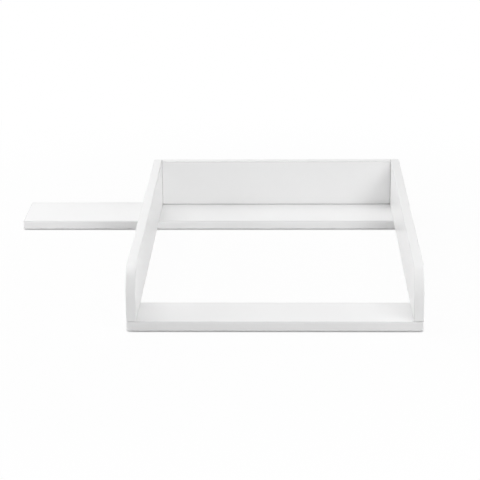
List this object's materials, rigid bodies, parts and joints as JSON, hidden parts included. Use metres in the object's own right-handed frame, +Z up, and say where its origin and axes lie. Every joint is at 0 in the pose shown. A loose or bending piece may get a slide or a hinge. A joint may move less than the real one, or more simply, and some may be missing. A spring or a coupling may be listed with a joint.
{
  "type": "changing-table tray",
  "caption": "White wooden changing-table tray: side boards with rounded front corners and a back board on a front rail and a long rear rail that runs past one side; open at the front.",
  "frame": {"origin": "middle of the outer box, at the underside of the anti-slip pads, where the tray stands on a chest of drawers", "axes": "+X to the user's right along the rails, +Y away from the user towards the wall, +Z up"},
  "size_m": [0.8, 0.75, 0.117],
  "materials": {
    "faced_board": "chipboard with a white satin melamine facing",
    "edge_band": "white satin plastic edge band",
    "screw_zinc": "bright zinc plated",
    "dowel_beech": "plain fluted beech",
    "pad_foam": "matt grey anti-slip foam"
  },
  "bodies": {
    "root": {"left_side_board": "faced_board", "left_side_front_top_band": "edge_band", "left_side_rear_band": "edge_band", "left_side_bottom_band": "edge_band", "right_side_board": "faced_board", "right_side_front_top_band": "edge_band", "right_side_rear_band": "edge_band", "right_side_bottom_band": "edge_band", "back_board": "faced_board", "back_top_band": "edge_band", "back_bottom_band": "edge_band", "front_rail_board": "faced_board", "front_rail_front_band": "edge_band", "front_rail_rear_band": "edge_band", "front_rail_left_band": "edge_band", "front_rail_right_band": "edge_band", "rear_rail_board": "faced_board", "rear_rail_front_band": "edge_band", "rear_rail_rear_band": "edge_band", "rear_rail_left_band": "edge_band", "rear_rail_right_band": "edge_band", "left_side_screws": "screw_zinc", "right_side_screws": "screw_zinc", "back_screws": "screw_zinc", "left_side_dowels": "dowel_beech", "right_side_dowels": "dowel_beech", "back_bottom_dowels": "dowel_beech", "back_end_dowels": "dowel_beech", "front_rail_pads": "pad_foam", "rear_rail_pads": "pad_foam"}
  },
  "joints": []
}
